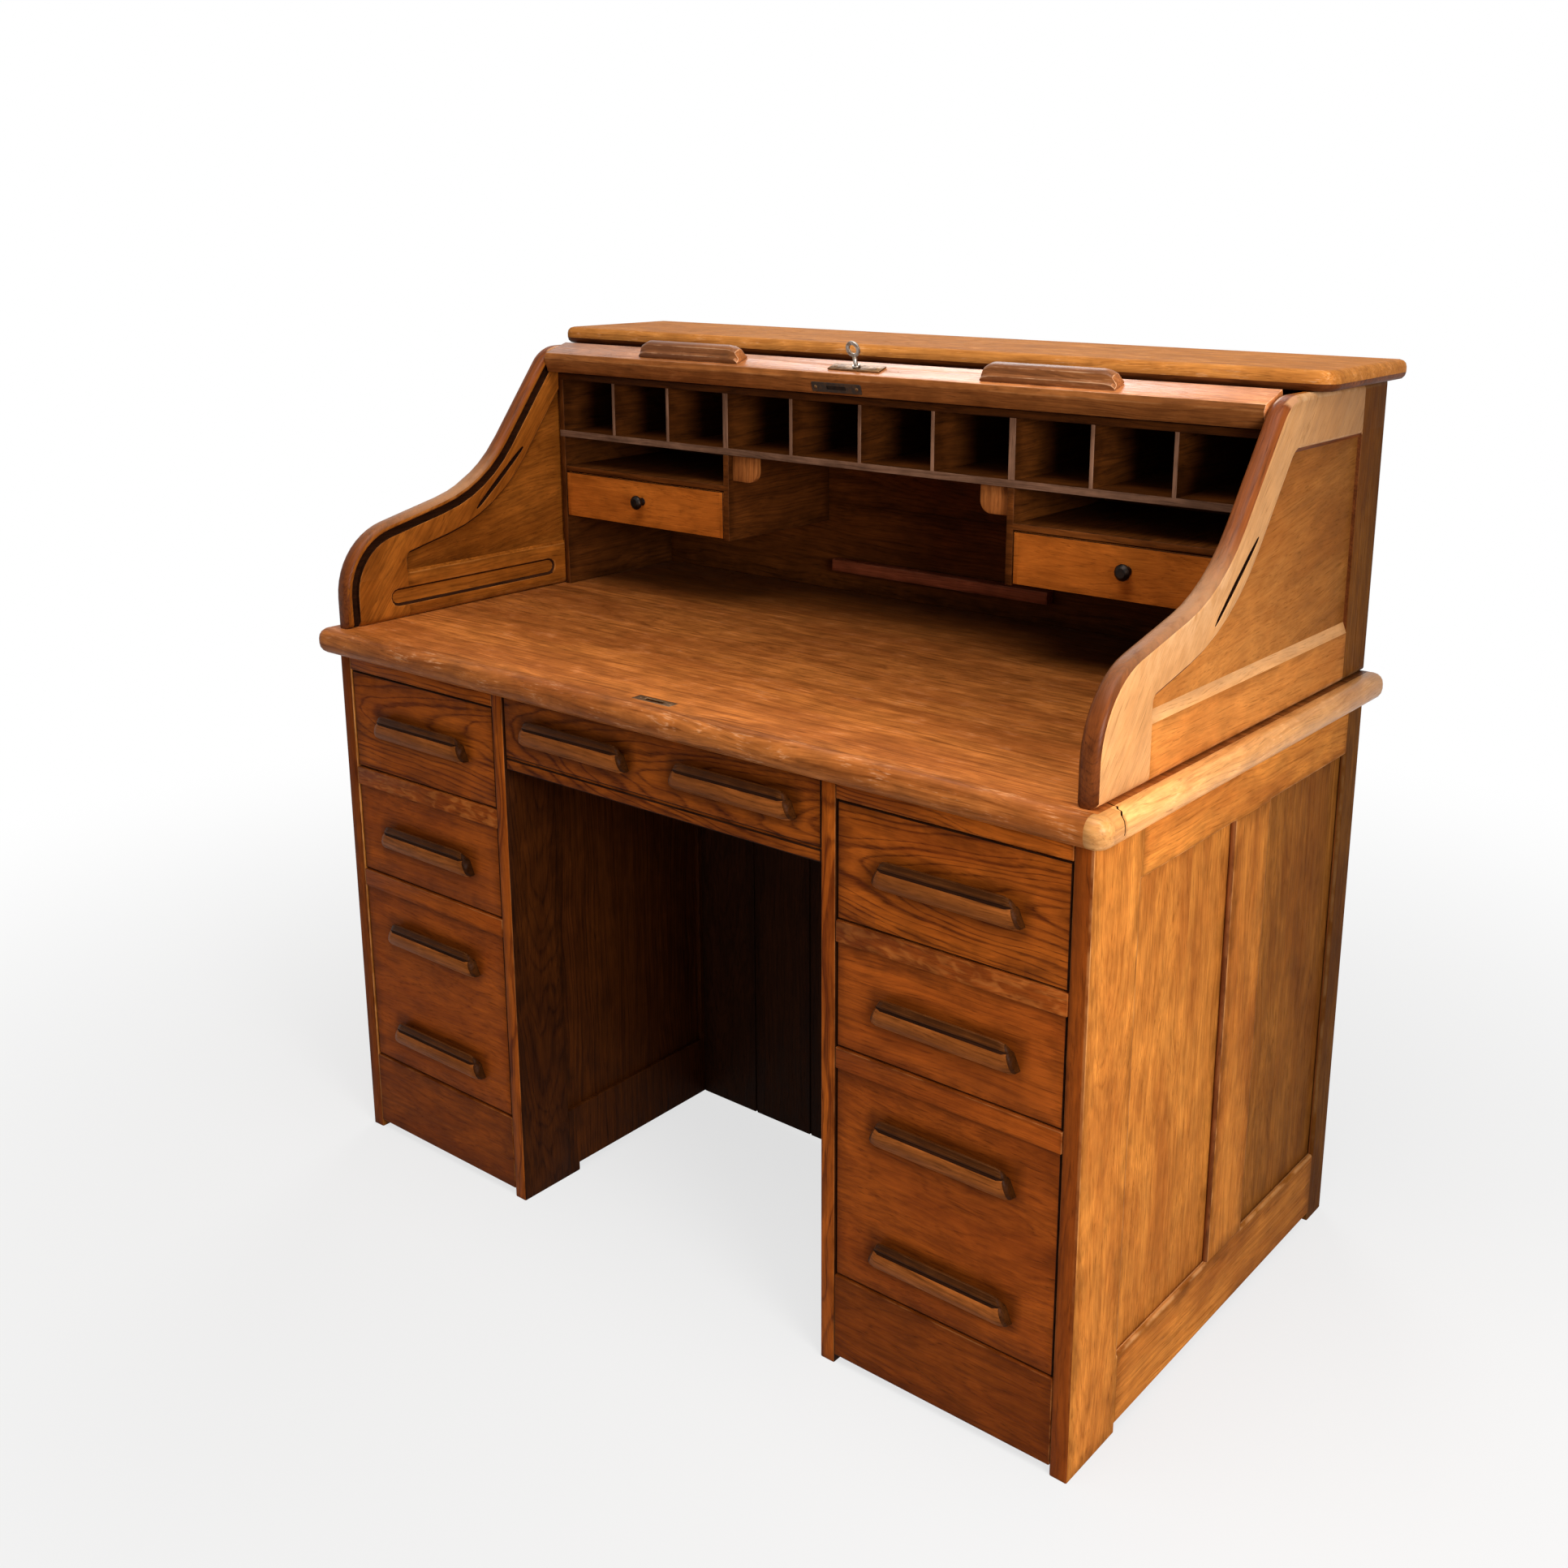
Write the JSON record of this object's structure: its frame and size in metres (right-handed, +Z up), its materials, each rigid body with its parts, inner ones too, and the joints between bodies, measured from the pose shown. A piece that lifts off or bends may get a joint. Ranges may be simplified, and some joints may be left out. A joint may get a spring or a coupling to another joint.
{
  "type": "roll-top desk",
  "caption": "Oak roll-top desk with S-shaped ends, a tambour rail, pigeonholes over the writing top and drawer pedestals beside a kneehole.",
  "frame": {"origin": "on the floor under the middle of the desk's box", "axes": "+X along the desk's width to the sitter's right, +Y to the back, +Z up"},
  "size_m": [1.25, 0.71, 1.1637],
  "materials": {
    "oak_top": "worn shellac",
    "oak_front": "worn shellac",
    "oak_side": "worn shellac",
    "inner_oak": "dry, dark",
    "dark_boards": "dry, dark",
    "small_drawer_oak": "satin",
    "pull_oak": "satin, handled dark",
    "dark_iron": "dark, aged",
    "key_steel": "plated"
  },
  "bodies": {
    "case": {"writing_top": "oak_top", "strike_plate": "dark_iron", "left_side_frame": "oak_side", "left_panel_front": "oak_side", "left_panel_rear": "oak_side", "left_inner_side": "inner_oak", "left_back": "dark_boards", "left_top_rail": "oak_front", "left_lower_web": "oak_front", "left_upper_web": "oak_front", "left_base": "oak_front", "left_s_end": "oak_side", "left_box": "inner_oak", "left_bracket": "inner_oak", "right_side_frame": "oak_side", "right_panel_front": "oak_side", "right_panel_rear": "oak_side", "right_inner_side": "inner_oak", "right_back": "dark_boards", "right_top_rail": "oak_front", "right_lower_web": "oak_front", "right_upper_web": "oak_front", "right_base": "oak_front", "right_s_end": "oak_side", "right_box": "inner_oak", "right_bracket": "inner_oak", "kneehole_back": "dark_boards", "cap": "oak_top", "upper_back": "dark_boards", "inner_back": "dark_boards", "pigeonhole_rack": "inner_oak", "rear_ledge": "inner_oak"},
    "left_top_drawer": {"left_top_drawer": "oak_front", "left_top_pull": "pull_oak"},
    "left_middle_drawer": {"left_middle_drawer": "oak_front", "left_middle_pull": "pull_oak"},
    "left_file_drawer": {"left_file_drawer": "oak_front", "left_file_pull_upper": "pull_oak", "left_file_pull_lower": "pull_oak"},
    "left_small_drawer": {"left_small_drawer": "small_drawer_oak", "left_knob": "dark_iron"},
    "right_top_drawer": {"right_top_drawer": "oak_front", "right_top_pull": "pull_oak"},
    "right_middle_drawer": {"right_middle_drawer": "oak_front", "right_middle_pull": "pull_oak"},
    "right_file_drawer": {"right_file_drawer": "oak_front", "right_file_pull_upper": "pull_oak", "right_file_pull_lower": "pull_oak"},
    "right_small_drawer": {"right_small_drawer": "small_drawer_oak", "right_knob": "dark_iron"},
    "centre_drawer": {"centre_drawer": "oak_front", "centre_pull_left": "pull_oak", "centre_pull_right": "pull_oak"},
    "lead_rail": {"lead_rail": "oak_top", "left_lift": "pull_oak", "right_lift": "pull_oak", "escutcheon": "dark_iron"},
    "lock_key": {"lock_key": "key_steel"},
    "tambour_top_run": {"tambour_top_run": "oak_front"},
    "tambour_back_run": {"tambour_back_run": "oak_front"}
  },
  "joints": [
    {"name": "left_top_drawer_slide", "type": "slide", "parent": "case", "child": "left_top_drawer", "axis": [0, -1, 0], "range_m": [0, 0.42]},
    {"name": "left_middle_drawer_slide", "type": "slide", "parent": "case", "child": "left_middle_drawer", "axis": [0, -1, 0], "range_m": [0, 0.42]},
    {"name": "left_file_drawer_slide", "type": "slide", "parent": "case", "child": "left_file_drawer", "axis": [0, -1, 0], "range_m": [0, 0.45]},
    {"name": "left_small_drawer_slide", "type": "slide", "parent": "case", "child": "left_small_drawer", "axis": [0, -1, 0], "range_m": [0, 0.13]},
    {"name": "right_top_drawer_slide", "type": "slide", "parent": "case", "child": "right_top_drawer", "axis": [0, -1, 0], "range_m": [0, 0.42]},
    {"name": "right_middle_drawer_slide", "type": "slide", "parent": "case", "child": "right_middle_drawer", "axis": [0, -1, 0], "range_m": [0, 0.42]},
    {"name": "right_file_drawer_slide", "type": "slide", "parent": "case", "child": "right_file_drawer", "axis": [0, -1, 0], "range_m": [0, 0.45]},
    {"name": "right_small_drawer_slide", "type": "slide", "parent": "case", "child": "right_small_drawer", "axis": [0, -1, 0], "range_m": [0, 0.13]},
    {"name": "centre_drawer_slide", "type": "slide", "parent": "case", "child": "centre_drawer", "axis": [0, -1, 0], "range_m": [0, 0.23]},
    {"name": "tambour_roll", "type": "hinge", "parent": "case", "child": "lead_rail", "pos_m": [0, 0.08516, 1.0757], "axis": [1, 0, 0], "range_deg": [0, 31]},
    {"name": "key_turn", "type": "hinge", "parent": "lead_rail", "child": "lock_key", "pos_m": [0, 0.08516, 1.0757], "axis": [0, -0.309, 0.9511], "range_deg": [0, 180]},
    {"name": "tambour_top_slide", "type": "slide", "parent": "case", "child": "tambour_top_run", "axis": [0, -1, 0], "range_m": [0, 0.021]},
    {"name": "tambour_back_slide", "type": "slide", "parent": "case", "child": "tambour_back_run", "axis": [0, 0, 1], "range_m": [0, 0.021]}
  ],
  "couplings": [
    {"joint": "tambour_top_slide", "follows": "tambour_roll", "m_per_rad": 0.038},
    {"joint": "tambour_back_slide", "follows": "tambour_roll", "m_per_rad": 0.038}
  ]
}
